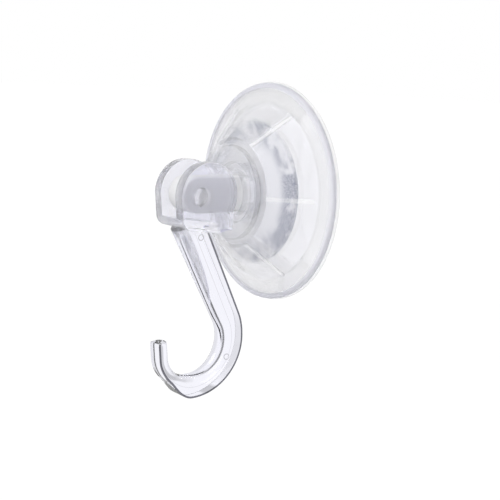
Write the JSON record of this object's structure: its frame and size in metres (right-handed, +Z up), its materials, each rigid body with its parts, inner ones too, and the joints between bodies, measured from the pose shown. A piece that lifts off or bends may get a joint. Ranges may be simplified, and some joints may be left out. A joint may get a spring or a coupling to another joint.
{
  "type": "suction cup hook",
  "caption": "Clear wall hook on a suction cup: a ribbed cover over the cup, and a J shaped hook with cam ears that pivots on the cup's stud.",
  "frame": {"origin": "middle of the suction cup's sealing lip, on the wall plane", "axes": "+Z up, +Y into the wall along the cup's axis, the hook stands out along -Y, +X along the hook's pivot"},
  "size_m": [0.062, 0.0365, 0.0881],
  "materials": {
    "clear_plastic": "clear rigid polystyrene, polished",
    "soft_vinyl": "soft clear vinyl, slightly milky, grainy on the hub"
  },
  "bodies": {
    "suction_cup": {"suction_cup": "soft_vinyl"},
    "cover": {"cover": "clear_plastic"},
    "hook": {"hook": "clear_plastic"}
  },
  "joints": [
    {"name": "cover_slide", "type": "slide", "parent": "suction_cup", "child": "cover", "axis": [0, -1, 0], "range_m": [0, 0.0013]},
    {"name": "hook_lever", "type": "hinge", "parent": "suction_cup", "child": "hook", "pos_m": [0, -0.02604, -0.0005], "axis": [1, 0, 0], "range_deg": [-180, 6]}
  ]
}
